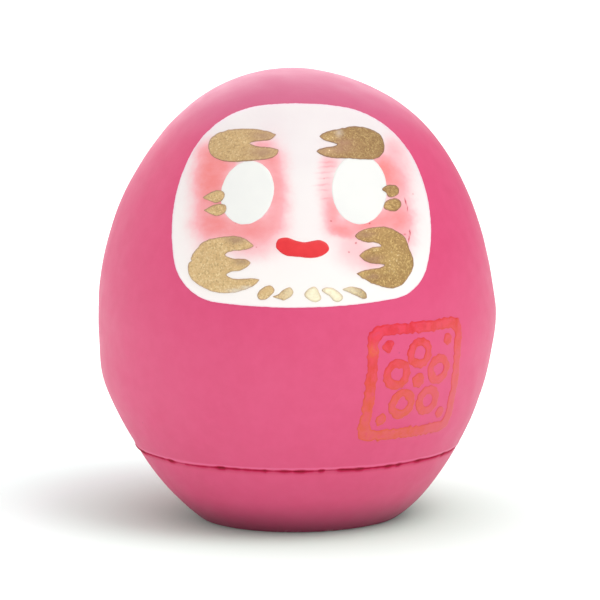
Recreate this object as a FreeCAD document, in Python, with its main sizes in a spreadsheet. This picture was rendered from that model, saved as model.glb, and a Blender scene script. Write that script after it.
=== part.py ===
import FreeCAD, Part
import math
import os

import Sketcher

# A small painted daruma doll: a hollow egg-shaped shell glued to a weighted base cup,
# with the face, the gold strokes and the seal as thin coats of paint on the shell.
#
# Frame: the origin is the centre of the flat foot, +Z is up and the face looks along -Y,
# so the doll's left side, as a viewer sees it, is -X. All lengths are in millimetres.

# Driving dimensions. Every one is a cell of the sheet "sizes".
SIZES = {
    # egg: three tangent arcs on each side of the axis
    "body_height": 70.0,
    "body_radius": 30.8,
    "widest_height": 31.7,
    "belly_arc": 40.0,
    "shoulder_arc": 45.3,
    # shell and the seam it shares with the base cup
    "shell_wall": 2.0,
    "seam_height": 11.5,
    "seam_bevel": 0.25,
    # base cup, with a spigot that stands up inside the shell
    "foot_edge": 1.0,
    "cup_wall": 2.5,
    "cup_floor": 3.0,
    "bowl_radius": 20.0,
    "spigot_radius": 22.6,
    "spigot_height": 4.0,
    # cast weight and glue bead
    "ballast_top": 10.0,
    "glue_height": 2.0,
    # coat thicknesses
    "face_coat": 0.2,
    "eye_coat": 0.1,
    "gold_coat": 0.18,
    "mouth_coat": 0.15,
    "seal_coat": 0.08,
    # face patch: a top, a bottom and two side arcs, joined by four corner arcs
    "face_top": 65.8,
    "face_top_arc": 40.5,
    "face_top_shift": 0.8,
    "face_bottom": 37.0,
    "face_bottom_arc": 143.0,
    "face_bottom_shift": 1.2,
    "cheek_left": 19.7,
    "cheek_left_arc": 23.5,
    "cheek_left_height": 46.6,
    "cheek_right": 19.2,
    "cheek_right_arc": 21.0,
    "cheek_right_height": 48.0,
    "temple_left_arc": 14.5,
    "temple_right_arc": 15.0,
    "jaw_left_arc": 6.5,
    "jaw_right_arc": 6.0,
    # eyes: ellipses, long axis measured from the horizontal
    "eye_left_offset": 8.5,
    "eye_left_height": 53.4,
    "eye_left_long": 9.3,
    "eye_left_short": 7.4,
    "eye_left_angle": 63.0,
    "eye_right_offset": 8.2,
    "eye_right_height": 53.7,
    "eye_right_long": 9.8,
    "eye_right_short": 8.4,
    "eye_right_angle": 90.0,
    # seal: a square frame round a five-petalled blossom, on the doll's right flank
    "seal_azimuth": 33.8,
    "seal_height": 25.0,
    "seal_side": 18.0,
    "seal_corner": 2.2,
    "seal_line": 1.7,
    "petal_distance": 4.2,
    "petal_radius": 2.35,
    "petal_hole": 1.0,
    "blossom_centre": 1.15,
    "corner_dot": 0.9,
    "corner_dot_offset": 5.7,
    # length of the straight prisms that cut the coats out of the skins of paint
    "prism_length": 40.0,
}

# Brush strokes, as seen from the front: millimetres across from the face's centre plane
# and up from the foot. A stroke is a closed chain of smooth runs that meet at its tips.
STROKES = {
    "left_brow": [
        [(-3.9, 61.6), (-5.0, 62.0), (-8.0, 62.35), (-11.5, 61.9), (-13.4, 60.9), (-14.0, 59.7),
         (-13.5, 58.4), (-11.9, 57.75), (-9.6, 57.7), (-7.0, 58.0), (-5.0, 58.3), (-3.9, 58.9),
         (-3.7, 59.5)],
        [(-3.7, 59.5), (-5.5, 59.85), (-7.2, 60.05), (-7.85, 60.3), (-7.2, 60.55), (-5.0, 60.85),
         (-3.9, 61.6)],
    ],
    "right_brow": [
        [(2.5, 61.3), (3.6, 61.9), (5.2, 62.2), (7.5, 62.5), (10.4, 62.0), (12.0, 61.0),
         (12.45, 59.7), (12.0, 58.4), (10.8, 57.85), (8.5, 57.95), (5.5, 58.15), (3.2, 58.5),
         (1.9, 59.25)],
        [(1.9, 59.25), (3.0, 59.7), (4.5, 59.9), (5.1, 60.1), (4.5, 60.35), (3.3, 60.7),
         (2.5, 61.3)],
    ],
    "left_beard": [
        [(-7.75, 45.9), (-8.6, 46.65), (-10.4, 47.25), (-12.6, 47.0), (-15.0, 46.25),
         (-16.4, 44.75), (-17.05, 43.75)],
        [(-17.05, 43.75), (-16.85, 43.35)],
        [(-16.85, 43.35), (-17.3, 43.0), (-17.45, 42.2), (-17.2, 41.1), (-16.0, 40.0),
         (-14.3, 39.2), (-12.4, 38.95), (-10.4, 39.2), (-8.6, 39.8), (-7.3, 40.7), (-7.0, 41.1)],
        [(-7.0, 41.1), (-8.2, 41.25), (-9.9, 41.1), (-11.4, 41.3), (-11.85, 41.65), (-11.2, 42.05),
         (-9.8, 42.35), (-8.8, 42.9), (-8.25, 43.5)],
        [(-8.25, 43.5), (-9.2, 44.0), (-11.2, 44.1), (-12.0, 44.5), (-11.2, 45.0), (-9.5, 45.25),
         (-8.3, 45.6), (-7.75, 45.9)],
    ],
    "right_beard": [
        [(7.2, 47.15), (8.2, 47.9), (10.0, 48.25), (12.0, 48.2), (13.8, 47.4), (15.1, 46.2),
         (15.5, 44.9), (16.1, 43.5), (16.1, 42.2), (15.3, 40.7), (14.1, 39.6), (12.8, 39.3),
         (11.0, 39.7), (9.0, 40.55), (7.35, 41.75)],
        [(7.35, 41.75), (8.9, 42.25), (10.8, 42.45), (11.65, 42.75), (10.8, 42.95), (9.4, 43.15),
         (8.4, 43.7), (7.75, 44.3)],
        [(7.75, 44.3), (8.8, 45.05), (10.2, 45.45), (11.2, 45.5), (10.6, 45.95), (9.2, 46.15),
         (8.0, 46.5), (7.2, 47.15)],
    ],
    "left_eye_tick_upper": [
        [(-14.95, 52.55), (-14.0, 53.2), (-12.9, 53.6), (-12.0, 53.4), (-11.85, 52.8),
         (-12.5, 52.05), (-13.2, 51.8), (-14.1, 52.05), (-14.95, 52.55)],
    ],
    "left_eye_tick_lower": [
        [(-14.85, 50.75), (-13.8, 51.35), (-12.5, 51.75), (-11.75, 51.5), (-11.75, 50.8),
         (-12.4, 50.2), (-13.2, 50.0), (-14.1, 50.25), (-14.85, 50.75)],
    ],
    "right_eye_tick_upper": [
        [(11.7, 53.65), (12.4, 54.05), (13.4, 54.05), (14.2, 53.6), (14.2, 52.8), (13.5, 52.35),
         (12.6, 52.45), (12.1, 53.1), (11.7, 53.65)],
    ],
    "right_eye_tick_lower": [
        [(11.8, 51.0), (12.2, 51.8), (13.0, 52.1), (14.1, 52.0), (14.55, 51.3), (14.2, 50.6),
         (13.4, 50.3), (12.5, 50.5), (11.8, 51.0)],
    ],
    "chin_tick_1": [
        [(-7.4, 39.0), (-6.6, 39.9), (-5.4, 40.2), (-4.85, 39.7), (-5.4, 38.8), (-6.4, 38.15),
         (-7.2, 38.3), (-7.4, 39.0)],
    ],
    "chin_tick_2": [
        [(-5.1, 38.7), (-4.2, 39.1), (-3.3, 39.8), (-2.4, 39.95), (-2.1, 39.3), (-2.7, 38.55),
         (-3.5, 38.1), (-4.3, 38.35), (-5.1, 38.7)],
    ],
    "chin_tick_3": [
        [(-0.5, 39.1), (0.2, 39.8), (1.2, 40.0), (1.7, 39.2), (2.0, 38.3), (1.4, 37.85),
         (0.3, 38.1), (-0.3, 38.5), (-0.5, 39.1)],
    ],
    "chin_tick_4": [
        [(2.2, 39.7), (3.4, 39.9), (4.5, 39.3), (5.2, 38.3), (4.7, 37.8), (3.8, 38.0),
         (3.0, 38.8), (2.2, 39.7)],
    ],
    "chin_tick_5": [
        [(5.2, 39.6), (6.3, 39.9), (7.7, 39.65), (8.7, 38.9), (8.8, 38.1), (7.9, 38.2),
         (6.6, 38.85), (5.6, 39.3), (5.2, 39.6)],
    ],
    "mouth": [
        [(-4.55, 46.0), (-4.0, 47.0), (-3.1, 47.15), (-1.5, 46.7), (0.0, 46.5), (1.7, 46.75),
         (2.9, 46.3), (3.3, 45.5), (2.4, 44.6), (0.4, 44.2), (-1.5, 44.4), (-3.1, 44.6),
         (-4.2, 45.3), (-4.55, 46.0)],
    ],
}

ORIGIN, START, END, CENTRE = -1, 1, 2, 3
HORIZONTAL_AXIS, VERTICAL_AXIS = -1, -2
PETALS = 5
CORNERS = 4
TOUCH = 1e-6


def make_sheet(doc):
    sheet = doc.addObject("Spreadsheet::Sheet", "sizes")
    for row, (alias, value) in enumerate(SIZES.items(), start=1):
        sheet.set(f"A{row}", alias)
        sheet.set(f"B{row}", str(value))
        sheet.setAlias(f"B{row}", alias)
    doc.recompute()


def number(owner, expression):
    """The present value of an expression of the sheet's cells."""
    return float(owner.evalExpression(expression))


def new_body(doc, name):
    body = doc.addObject("PartDesign::Body", name)
    body.Label = name
    return body


def new_sketch(body, name, raised_by="0"):
    """An upright sketch across the doll: its x is +X, its y is +Z, and it looks along -Y."""
    sketch = body.newObject("Sketcher::SketchObject", name)
    plane = next(p for p in body.Origin.OriginFeatures if p.Role == "XZ_Plane")
    sketch.AttachmentSupport = [(plane, "")]
    sketch.MapMode = "FlatFace"
    sketch.setExpression("AttachmentOffset.Base.y", raised_by)
    return sketch


def rule(sketch, kind, *where):
    return sketch.addConstraint(Sketcher.Constraint(kind, *where))


def dimension(sketch, expression, kind, *where):
    """A driving dimension, bound to an expression of the sheet's cells."""
    index = rule(sketch, kind, *where, number(sketch, expression))
    sketch.setExpression(f"Constraints[{index}]", expression)


def centre_at(sketch, curve, across, up):
    """Place a curve's centre; across and up are (sign, expression) pairs from the origin."""
    for kind, (sign, expression) in (("DistanceX", across), ("DistanceY", up)):
        ends = (ORIGIN, START, curve, CENTRE) if sign > 0 else (curve, CENTRE, ORIGIN, START)
        dimension(sketch, expression, kind, *ends)


def arc(sketch, across, up, radius, start, end):
    """A circular arc, anticlockwise between two angles in radians."""
    circle = Part.Circle(FreeCAD.Vector(across, up, 0), FreeCAD.Vector(0, 0, 1), radius)
    return sketch.addGeometry(Part.ArcOfCircle(circle, start, end), False)


def line(sketch, first, last):
    segment = Part.LineSegment(FreeCAD.Vector(*first, 0), FreeCAD.Vector(*last, 0))
    return sketch.addGeometry(segment, False)


def circle(sketch, radius, across, up):
    """A full circle; across and up are expressions, measured right and up from the origin."""
    middle = FreeCAD.Vector(number(sketch, across), number(sketch, up), 0)
    normal = FreeCAD.Vector(0, 0, 1)
    ring = sketch.addGeometry(Part.Circle(middle, normal, number(sketch, radius)), False)
    dimension(sketch, radius, "Radius", ring)
    for kind, axis, expression in (
        ("DistanceX", VERTICAL_AXIS, across), ("DistanceY", HORIZONTAL_AXIS, up)
    ):
        if expression == "0":
            rule(sketch, "PointOnObject", ring, CENTRE, axis)
        else:
            dimension(sketch, expression, kind, ORIGIN, START, ring, CENTRE)


def revolve(body, sketch, kind, name):
    """Turn a half section about the doll's upright axis, adding or removing material."""
    feature = body.newObject(kind, name)
    feature.Profile = sketch
    feature.ReferenceAxis = (sketch, ["V_Axis"])
    feature.Angle = 360.0
    body.Document.recompute()
    return feature


def extrude(body, sketch, kind, name):
    """Push an upright sketch forwards, out through the front of the doll."""
    feature = body.newObject(kind, name)
    feature.Profile = sketch
    feature.setExpression("Length", "sizes.prism_length")
    feature.Reversed = kind == "PartDesign::Pocket"
    body.Document.recompute()
    return feature


def outer_rim(shape, height):
    """The name of the widest horizontal circle at a height."""
    rims = [
        (edge.BoundBox.XLength, f"Edge{index}")
        for index, edge in enumerate(shape.Edges, start=1)
        if abs(edge.BoundBox.ZMin - height) < TOUCH and abs(edge.BoundBox.ZMax - height) < TOUCH
    ]
    return max(rims)[1]


def bevel(body, base, name):
    """The small bevel on the seam's outer edge, half of the groove between shell and cup."""
    feature = body.newObject("PartDesign::Chamfer", name)
    feature.Base = (base, [outer_rim(base.Shape, number(body, "sizes.seam_height"))])
    feature.setExpression("Size", "sizes.seam_bevel")
    body.Document.recompute()
    return feature


def belly_edge(sketch, growth, first, last):
    """An arc about the belly's centre, grown outwards; its ends are given in either order."""
    middle = number(sketch, "sizes.body_radius - sizes.belly_arc")
    widest = number(sketch, "sizes.widest_height")
    radius = number(sketch, f"sizes.belly_arc + {growth}")
    turns = [math.atan2(up - widest, across - middle) for across, up in (first, last)]
    curve = arc(sketch, middle, widest, radius, min(turns), max(turns))
    dimension(sketch, f"sizes.belly_arc + {growth}", "Radius", curve)
    centre_at(sketch, curve, (-1, "sizes.belly_arc - sizes.body_radius"),
              (1, "sizes.widest_height"))
    return (curve, START, END) if turns[0] < turns[1] else (curve, END, START)


def corner(sketch, one, other):
    """Where two edges of a half section meet, as (across, up)."""
    known = {kind: number(sketch, expression) for kind, expression in (one, other)}
    if "belly" not in known:
        return known["upright"], known["flat"]
    middle = number(sketch, "sizes.body_radius - sizes.belly_arc")
    widest = number(sketch, "sizes.widest_height")
    radius = number(sketch, "sizes.belly_arc") + known["belly"]
    if "flat" in known:
        rise = known["flat"] - widest
        return middle + math.sqrt(radius ** 2 - rise ** 2), known["flat"]
    reach = known["upright"] - middle
    return known["upright"], widest - math.sqrt(radius ** 2 - reach ** 2)


def half_section(body, name, edges):
    """A closed half section, given as its edges in order.

    An edge is ("flat", height), ("upright", radius) or ("belly", growth), and each corner
    is where an edge meets the next one.
    """
    sketch = new_sketch(body, name)
    corners = [corner(sketch, edges[i - 1], edges[i]) for i in range(len(edges))]
    drawn = []
    for i, (kind, expression) in enumerate(edges):
        first, last = corners[i], corners[(i + 1) % len(edges)]
        if kind == "belly":
            drawn.append(belly_edge(sketch, expression, first, last))
            continue
        side = line(sketch, first, last)
        rule(sketch, "Horizontal" if kind == "flat" else "Vertical", side)
        if expression == "0":
            axis = HORIZONTAL_AXIS if kind == "flat" else VERTICAL_AXIS
            rule(sketch, "PointOnObject", side, START, axis)
        else:
            way = "DistanceY" if kind == "flat" else "DistanceX"
            dimension(sketch, expression, way, ORIGIN, START, side, START)
        drawn.append((side, START, END))
    for (here, _, last), (there, first, _) in zip(drawn, drawn[1:] + drawn[:1]):
        rule(sketch, "Coincident", here, last, there, first)
    return sketch


def egg_section(body, name, growth, base):
    """Half of the egg, grown outwards by one expression and cut off flat at another."""
    sketch = new_sketch(body, name)
    grown, floor = number(sketch, growth), number(sketch, base)
    widest = number(sketch, "sizes.widest_height")
    waist = number(sketch, "sizes.body_radius") + grown
    top = number(sketch, "sizes.body_height") + grown
    belly_radius = number(sketch, "sizes.belly_arc") + grown
    shoulder_radius = number(sketch, "sizes.shoulder_arc") + grown
    inset = shoulder_radius - waist
    reach = top - widest
    crown_radius = (shoulder_radius ** 2 - inset ** 2 - reach ** 2) / (2 * (shoulder_radius - reach))
    crown_up = top - crown_radius
    turn = math.atan2(crown_up - widest, inset)
    base_radius = waist - belly_radius + math.sqrt(belly_radius ** 2 - (floor - widest) ** 2)
    belly, _, _ = belly_edge(sketch, growth, (base_radius, floor), (waist, widest))
    shoulder = arc(sketch, -inset, widest, shoulder_radius, 0.0, turn)
    crown = arc(sketch, 0.0, crown_up, crown_radius, turn, math.pi / 2)
    axis = line(sketch, (0.0, top), (0.0, floor))
    bottom = line(sketch, (0.0, floor), (base_radius, floor))
    rule(sketch, "Tangent", belly, END, shoulder, START)
    rule(sketch, "Tangent", shoulder, END, crown, START)
    rule(sketch, "Coincident", crown, END, axis, START)
    rule(sketch, "Coincident", axis, END, bottom, START)
    rule(sketch, "Coincident", bottom, END, belly, START)
    for curve, end in ((axis, START), (axis, END), (crown, CENTRE)):
        rule(sketch, "PointOnObject", curve, end, VERTICAL_AXIS)
    rule(sketch, "Horizontal", bottom)
    dimension(sketch, f"sizes.shoulder_arc + {growth}", "Radius", shoulder)
    dimension(sketch, "sizes.widest_height", "DistanceY", ORIGIN, START, belly, END)
    dimension(sketch, f"sizes.body_height + {growth}", "DistanceY", ORIGIN, START, crown, END)
    if base == "0":
        rule(sketch, "PointOnObject", axis, END, HORIZONTAL_AXIS)
    else:
        dimension(sketch, base, "DistanceY", ORIGIN, START, axis, END)
    return sketch


def make_shell(doc):
    """The moulded shell: the egg above the seam, hollow and open underneath."""
    body = new_body(doc, "body_shell")
    outside = egg_section(body, "shell_outside", "0", "sizes.seam_height")
    revolve(body, outside, "PartDesign::Revolution", "shell_solid")
    inside = egg_section(body, "shell_inside", "(-sizes.shell_wall)", "0")
    hollow = revolve(body, inside, "PartDesign::Groove", "shell_hollow")
    bevel(body, hollow, "shell_bevel")
    return body


def make_cup(doc):
    """The base cup: flat foot, bowl for the weight, and a spigot that locates the shell."""
    body = new_body(doc, "base_cup")
    section = half_section(body, "cup_section", [
        ("flat", "0"),
        ("belly", "0"),
        ("flat", "sizes.seam_height"),
        ("upright", "sizes.spigot_radius"),
        ("flat", "sizes.seam_height + sizes.spigot_height"),
        ("upright", "sizes.bowl_radius"),
        ("belly", "(-sizes.cup_wall)"),
        ("flat", "sizes.cup_floor"),
        ("upright", "0"),
    ])
    turned = revolve(body, section, "PartDesign::Revolution", "cup_solid")
    foot = body.newObject("PartDesign::Fillet", "foot_edge")
    foot.Base = (turned, [outer_rim(turned.Shape, 0.0)])
    foot.setExpression("Radius", "sizes.foot_edge")
    doc.recompute()
    bevel(body, foot, "cup_bevel")
    return body


def make_ballast(doc):
    """The weight cast into the cup's bowl, which keeps the doll upright."""
    body = new_body(doc, "ballast_weight")
    section = half_section(body, "ballast_section", [
        ("flat", "sizes.cup_floor"),
        ("belly", "(-sizes.cup_wall)"),
        ("upright", "sizes.bowl_radius"),
        ("flat", "sizes.ballast_top"),
        ("upright", "0"),
    ])
    revolve(body, section, "PartDesign::Revolution", "ballast_solid")
    return body


def make_glue(doc):
    """The bead of glue in the wedge between the cup's spigot and the shell."""
    body = new_body(doc, "joint_glue")
    section = half_section(body, "glue_section", [
        ("flat", "sizes.seam_height"),
        ("belly", "(-sizes.shell_wall)"),
        ("flat", "sizes.seam_height + sizes.glue_height"),
        ("upright", "sizes.spigot_radius"),
    ])
    revolve(body, section, "PartDesign::Revolution", "glue_solid")
    return body


def make_skin(doc, name, inner, outer):
    """A skin of even thickness over the whole shell, between two growths of the egg."""
    body = new_body(doc, name)
    outside = egg_section(body, f"{name}_outside", outer, "sizes.seam_height")
    revolve(body, outside, "PartDesign::Revolution", f"{name}_solid")
    inside = egg_section(body, f"{name}_inside", inner, "0")
    revolve(body, inside, "PartDesign::Groove", f"{name}_hollow")
    return body


def make_coat(doc, name, skin, prism, under=None):
    """The piece of a skin that a prism covers, less what it is painted over."""
    coat = doc.addObject("Part::Common", f"{name}_area")
    coat.Base = skin
    coat.Tool = prism
    if under:
        area = coat
        coat = doc.addObject("Part::Cut", f"{name}_drape")
        coat.Base = area
        coat.Tool = under
    coat.Label = name
    return coat


def corner_centre(first, second, radius, side):
    """Centre of the arc that touches two larger arcs from inside, on one side of the face."""
    (x1, y1, r1), (x2, y2, r2) = first, second
    gap = math.hypot(x2 - x1, y2 - y1)
    along = ((r1 - radius) ** 2 - (r2 - radius) ** 2 + gap ** 2) / (2 * gap)
    aside = math.sqrt((r1 - radius) ** 2 - along ** 2)
    ux, uy = (x2 - x1) / gap, (y2 - y1) / gap
    found = [
        (x1 + along * ux + way * aside * uy, y1 + along * uy - way * aside * ux, radius)
        for way in (1, -1)
    ]
    return max(found, key=lambda centre: side * centre[0])


def direction(one, other):
    """The direction of the point where two arcs touch, seen from either centre."""
    small, large = (one, other) if one[2] < other[2] else (other, one)
    return math.atan2(small[1] - large[1], small[0] - large[0])


def make_face_prism(doc):
    """The outline of the white face: four long arcs joined by four corner arcs."""
    body = new_body(doc, "face_prism")
    sketch = new_sketch(body, "face_outline")
    placed = {
        "cheek_right": ((-1, "sizes.cheek_right_arc - sizes.cheek_right"),
                        (1, "sizes.cheek_right_height"), "sizes.cheek_right_arc"),
        "top": ((-1, "sizes.face_top_shift"),
                (1, "sizes.face_top - sizes.face_top_arc"), "sizes.face_top_arc"),
        "cheek_left": ((1, "sizes.cheek_left_arc - sizes.cheek_left"),
                       (1, "sizes.cheek_left_height"), "sizes.cheek_left_arc"),
        "bottom": ((-1, "sizes.face_bottom_shift"),
                   (1, "sizes.face_bottom + sizes.face_bottom_arc"), "sizes.face_bottom_arc"),
    }
    long_arcs = {
        name: (across[0] * number(sketch, across[1]), up[0] * number(sketch, up[1]),
               number(sketch, radius))
        for name, (across, up, radius) in placed.items()
    }
    corners = {
        "temple_right": ("cheek_right", "top", "sizes.temple_right_arc", 1),
        "temple_left": ("top", "cheek_left", "sizes.temple_left_arc", -1),
        "jaw_left": ("cheek_left", "bottom", "sizes.jaw_left_arc", -1),
        "jaw_right": ("bottom", "cheek_right", "sizes.jaw_right_arc", 1),
    }
    circles = []
    radii = []
    for (name, (_, _, radius)), (one, other, corner_radius, side) in zip(
        placed.items(), corners.values()
    ):
        circles.append(long_arcs[name])
        circles.append(corner_centre(long_arcs[one], long_arcs[other],
                                     number(sketch, corner_radius), side))
        radii += [radius, corner_radius]
    count = len(circles)
    for i, (across, up, radius) in enumerate(circles):
        start = direction(circles[i - 1], circles[i])
        end = direction(circles[i], circles[(i + 1) % count])
        arc(sketch, across, up, radius, start, end if end > start else end + 2 * math.pi)
    for i, radius in enumerate(radii):
        rule(sketch, "Tangent", i, END, (i + 1) % count, START)
        dimension(sketch, radius, "Radius", i)
    for i, (across, up, _) in enumerate(placed.values()):
        centre_at(sketch, 2 * i, across, up)
    extrude(body, sketch, "PartDesign::Pad", "face_block")
    return body


def make_eye_prism(doc, side, sign):
    """The outline of one eye: a leaning ellipse, left (sign -1) or right (sign 1)."""
    body = new_body(doc, f"{side}_eye_prism")
    sketch = new_sketch(body, f"{side}_eye_outline")
    cell = lambda part: f"sizes.eye_{side}_{part}"
    across, up = sign * number(sketch, cell("offset")), number(sketch, cell("height"))
    half_long, half_short = number(sketch, cell("long")) / 2, number(sketch, cell("short")) / 2
    lean = math.radians(number(sketch, cell("angle")))
    along = FreeCAD.Vector(math.cos(lean), math.sin(lean), 0)
    beside = FreeCAD.Vector(-math.sin(lean), math.cos(lean), 0)
    middle = FreeCAD.Vector(across, up, 0)
    shape = Part.Ellipse(middle + along * half_long, middle + beside * half_short, middle)
    eye = sketch.addGeometry(shape, False)
    sketch.exposeInternalGeometry(eye)
    long_axis, short_axis = eye + 1, eye + 2
    centre_at(sketch, eye, (sign, cell("offset")), (1, cell("height")))
    dimension(sketch, cell("long"), "Distance", long_axis)
    dimension(sketch, cell("short"), "Distance", short_axis)
    index = rule(sketch, "Angle", long_axis, lean)
    sketch.setExpression(f"Constraints[{index}]", f"{cell('angle')} * 1 deg")
    extrude(body, sketch, "PartDesign::Pad", f"{side}_eye_block")
    return body


def make_stroke_prism(doc, name, runs):
    """The outline of one brush stroke: smooth runs that meet at its tips."""
    body = new_body(doc, f"{name}_prism")
    sketch = new_sketch(body, f"{name}_outline")
    for run in runs:
        points = [FreeCAD.Vector(across, up, 0) for across, up in run]
        curve = Part.BSplineCurve()
        if len(runs) == 1:
            curve.interpolate(Points=points[:-1], PeriodicFlag=True)
        else:
            curve.interpolate(Points=points)
        rule(sketch, "Block", sketch.addGeometry(curve, False))
    extrude(body, sketch, "PartDesign::Pad", f"{name}_block")
    return body


def rounded_square(sketch, side, corner_radius):
    """A square about the sketch's origin with rounded corners."""
    half, radius = number(sketch, side) / 2, number(sketch, corner_radius)
    flat = half - radius
    sides, rounds = [], []
    for quarter in range(CORNERS):
        turn = quarter * math.pi / 2
        ux, uy = round(math.cos(turn)), round(math.sin(turn))
        sides.append(line(sketch, (half * ux + flat * uy, half * uy - flat * ux),
                          (half * ux - flat * uy, half * uy + flat * ux)))
        rounds.append(arc(sketch, flat * (ux - uy), flat * (ux + uy), radius, turn,
                          turn + math.pi / 2))
    for quarter in range(CORNERS):
        rule(sketch, "Tangent", sides[quarter], END, rounds[quarter], START)
        rule(sketch, "Tangent", rounds[quarter], END, sides[(quarter + 1) % CORNERS], START)
        dimension(sketch, corner_radius, "Radius", rounds[quarter])
    right, top, left, bottom = sides
    for upright, ends in ((right, (ORIGIN, START, right, START)), (left, (left, START, ORIGIN, START))):
        rule(sketch, "Vertical", upright)
        dimension(sketch, f"({side}) / 2", "DistanceX", *ends)
    for flat_side, ends in ((top, (ORIGIN, START, top, START)), (bottom, (bottom, START, ORIGIN, START))):
        rule(sketch, "Horizontal", flat_side)
        dimension(sketch, f"({side}) / 2", "DistanceY", *ends)


def ring_of(body, feature, sketch, name, count):
    """Repeat a feature round the sketch's own normal."""
    pattern = body.newObject("PartDesign::PolarPattern", name)
    pattern.Originals = [feature]
    pattern.Axis = (sketch, ["N_Axis"])
    pattern.Angle = 360.0
    pattern.Occurrences = count
    body.Tip = pattern
    body.Document.recompute()


def make_seal_prism(doc):
    """The seal's mark: a rounded square frame, a five-petalled blossom and a dot in each corner."""
    body = new_body(doc, "seal_prism")
    body.AllowCompound = True
    raised = "sizes.seal_height"
    frame = new_sketch(body, "seal_frame_outside", raised)
    rounded_square(frame, "sizes.seal_side", "sizes.seal_corner")
    extrude(body, frame, "PartDesign::Pad", "seal_frame_block")
    window = new_sketch(body, "seal_frame_inside", raised)
    rounded_square(window, "sizes.seal_side - 2 * sizes.seal_line", "sizes.seal_corner - 1")
    extrude(body, window, "PartDesign::Pocket", "seal_window")
    petal = new_sketch(body, "petal_outline", raised)
    circle(petal, "sizes.petal_radius", "0", "sizes.petal_distance")
    circle(petal, "sizes.petal_hole", "0", "sizes.petal_distance")
    ring_of(body, extrude(body, petal, "PartDesign::Pad", "petal_block"), petal, "petals", PETALS)
    dot = new_sketch(body, "corner_dot_outline", raised)
    circle(dot, "sizes.corner_dot", "sizes.corner_dot_offset", "sizes.corner_dot_offset")
    ring_of(body, extrude(body, dot, "PartDesign::Pad", "dot_block"), dot, "corner_dots", CORNERS)
    middle = new_sketch(body, "blossom_centre_outline", raised)
    circle(middle, "sizes.blossom_centre", "0", "0")
    extrude(body, middle, "PartDesign::Pad", "blossom_centre_block")
    body.Placement.Rotation.Axis = FreeCAD.Vector(0, 0, 1)
    body.setExpression("Placement.Rotation.Angle", "sizes.seal_azimuth * 1 deg")
    return body


def make_coats(doc):
    """Every painted coat, each cut out of a skin of its own thickness."""
    face_level = "sizes.face_coat"
    face_skin = make_skin(doc, "face_skin", "0", face_level)
    eye_skin = make_skin(doc, "eye_skin", face_level, f"{face_level} + sizes.eye_coat")
    gold_skin = make_skin(doc, "gold_skin", face_level, f"{face_level} + sizes.gold_coat")
    mouth_skin = make_skin(doc, "mouth_skin", face_level, f"{face_level} + sizes.mouth_coat")
    seal_skin = make_skin(doc, "seal_skin", "0", "sizes.seal_coat")
    coats = [
        make_coat(doc, "face_coat", face_skin, make_face_prism(doc)),
        make_coat(doc, "seal_stamp", seal_skin, make_seal_prism(doc)),
    ]
    eyes = {
        side: make_coat(doc, f"{side}_eye", eye_skin, make_eye_prism(doc, side, sign))
        for side, sign in (("left", -1), ("right", 1))
    }
    coats += eyes.values()
    for name, runs in STROKES.items():
        skin = mouth_skin if name == "mouth" else gold_skin
        side = name.split("_")[0]
        over_eye = "brow" in name or "eye_tick" in name
        coats.append(make_coat(doc, name, skin, make_stroke_prism(doc, name, runs),
                               eyes[side] if over_eye else None))
    return coats


def check(doc, nodes):
    """Stop if any object failed to build, or a sub-part is empty or not valid."""
    for item in doc.Objects:
        if "Invalid" in item.State or "Error" in item.State:
            raise RuntimeError(f"{item.Label}: {item.State}")
    for node in nodes:
        if node.Shape.isNull() or not node.Shape.isValid() or not node.Shape.Solids:
            raise RuntimeError(f"{node.Label} has no valid solid")


def main():
    doc = FreeCAD.newDocument("daruma")
    make_sheet(doc)
    nodes = [make_shell(doc), make_cup(doc), make_ballast(doc), make_glue(doc)]
    nodes += make_coats(doc)
    doc.recompute()
    check(doc, nodes)
    os.makedirs("parts", exist_ok=True)
    for node in nodes:
        node.Shape.exportStep(os.path.join("parts", f"{node.Label}.step"))
        print(f"{node.Label}: {len(node.Shape.Solids)} solid(s), {node.Shape.Volume:.2f} mm3")


main()
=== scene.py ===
import math

import bpy
import numpy as np
from mathutils import Matrix, Vector, geometry


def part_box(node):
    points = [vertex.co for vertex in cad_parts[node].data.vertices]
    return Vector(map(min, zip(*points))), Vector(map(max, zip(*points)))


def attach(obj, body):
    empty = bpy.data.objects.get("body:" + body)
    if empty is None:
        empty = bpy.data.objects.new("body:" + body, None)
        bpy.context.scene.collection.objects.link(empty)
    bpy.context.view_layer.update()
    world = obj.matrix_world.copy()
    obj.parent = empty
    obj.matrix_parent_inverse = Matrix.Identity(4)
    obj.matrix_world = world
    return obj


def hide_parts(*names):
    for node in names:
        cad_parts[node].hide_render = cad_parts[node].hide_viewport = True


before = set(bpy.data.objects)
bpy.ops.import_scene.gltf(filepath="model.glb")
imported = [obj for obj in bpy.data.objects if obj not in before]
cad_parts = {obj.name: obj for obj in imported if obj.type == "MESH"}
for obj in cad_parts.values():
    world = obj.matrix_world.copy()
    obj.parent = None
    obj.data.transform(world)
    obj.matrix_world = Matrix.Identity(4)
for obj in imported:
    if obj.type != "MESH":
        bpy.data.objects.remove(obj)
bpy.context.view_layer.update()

# A painted daruma doll: the shell and the base cup are remade as fine meshes with the
# open seam between them, and every coat of paint as a thin film with a rounded rim that
# follows the outline of its CAD coat. Lengths are in millimetres until a mesh is made.
# The face looks along -Y, +Z is up, and the doll stands on the floor at z = 0.

MM = 0.001
TURN = 2 * math.pi

low, high = (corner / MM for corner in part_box("body_shell"))
BODY_HEIGHT, BODY_RADIUS, SEAM = high.z, high.x, low.z

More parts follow.
